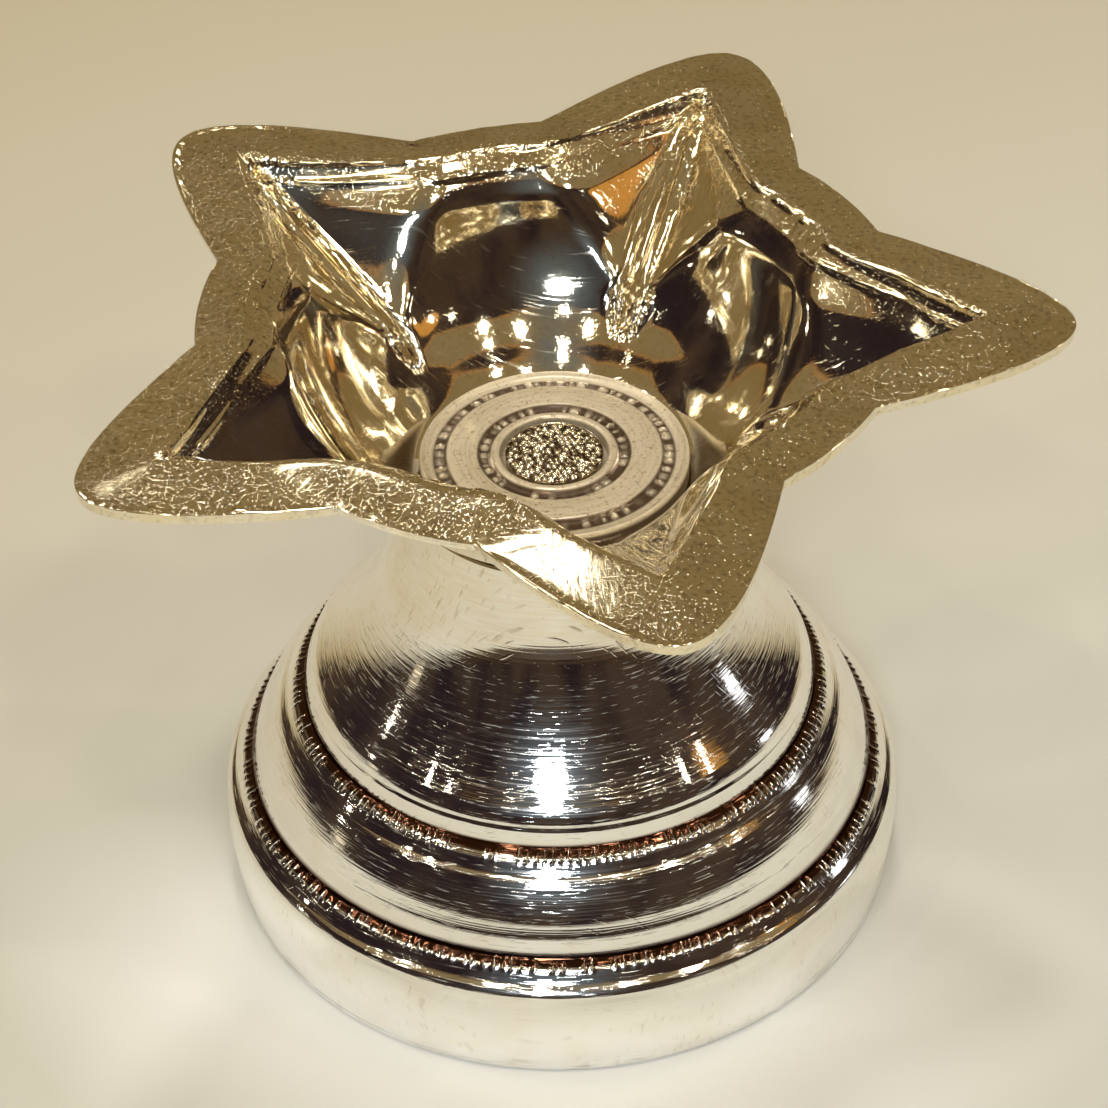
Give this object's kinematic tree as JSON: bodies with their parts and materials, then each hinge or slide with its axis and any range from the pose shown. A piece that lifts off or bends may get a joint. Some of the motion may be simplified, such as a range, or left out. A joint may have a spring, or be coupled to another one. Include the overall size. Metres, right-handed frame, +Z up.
{
  "type": "pedestal oil lamp",
  "caption": "Small silver oil lamp: a pressed star dish with pointed wick spouts, riveted through a turned rosette to the neck of a spun, stepped foot that is open below.",
  "frame": {"origin": "on the axis of the foot, on the surface that the lamp stands on", "axes": "+Z up along the foot's axis, +X along one spout of the dish"},
  "size_m": [0.0514, 0.0538, 0.0399],
  "materials": {
    "pressed_silver": "polished pressed sheet with fine scratches",
    "spun_silver": "polished, with turning lines",
    "satin_silver": "satin, turned",
    "peened_silver": "peened"
  },
  "bodies": {
    "root": {"star_dish": "pressed_silver", "foot_shell": "spun_silver", "rosette": "satin_silver", "centre_rivet": "peened_silver", "rivet_washer": "satin_silver"}
  },
  "joints": []
}
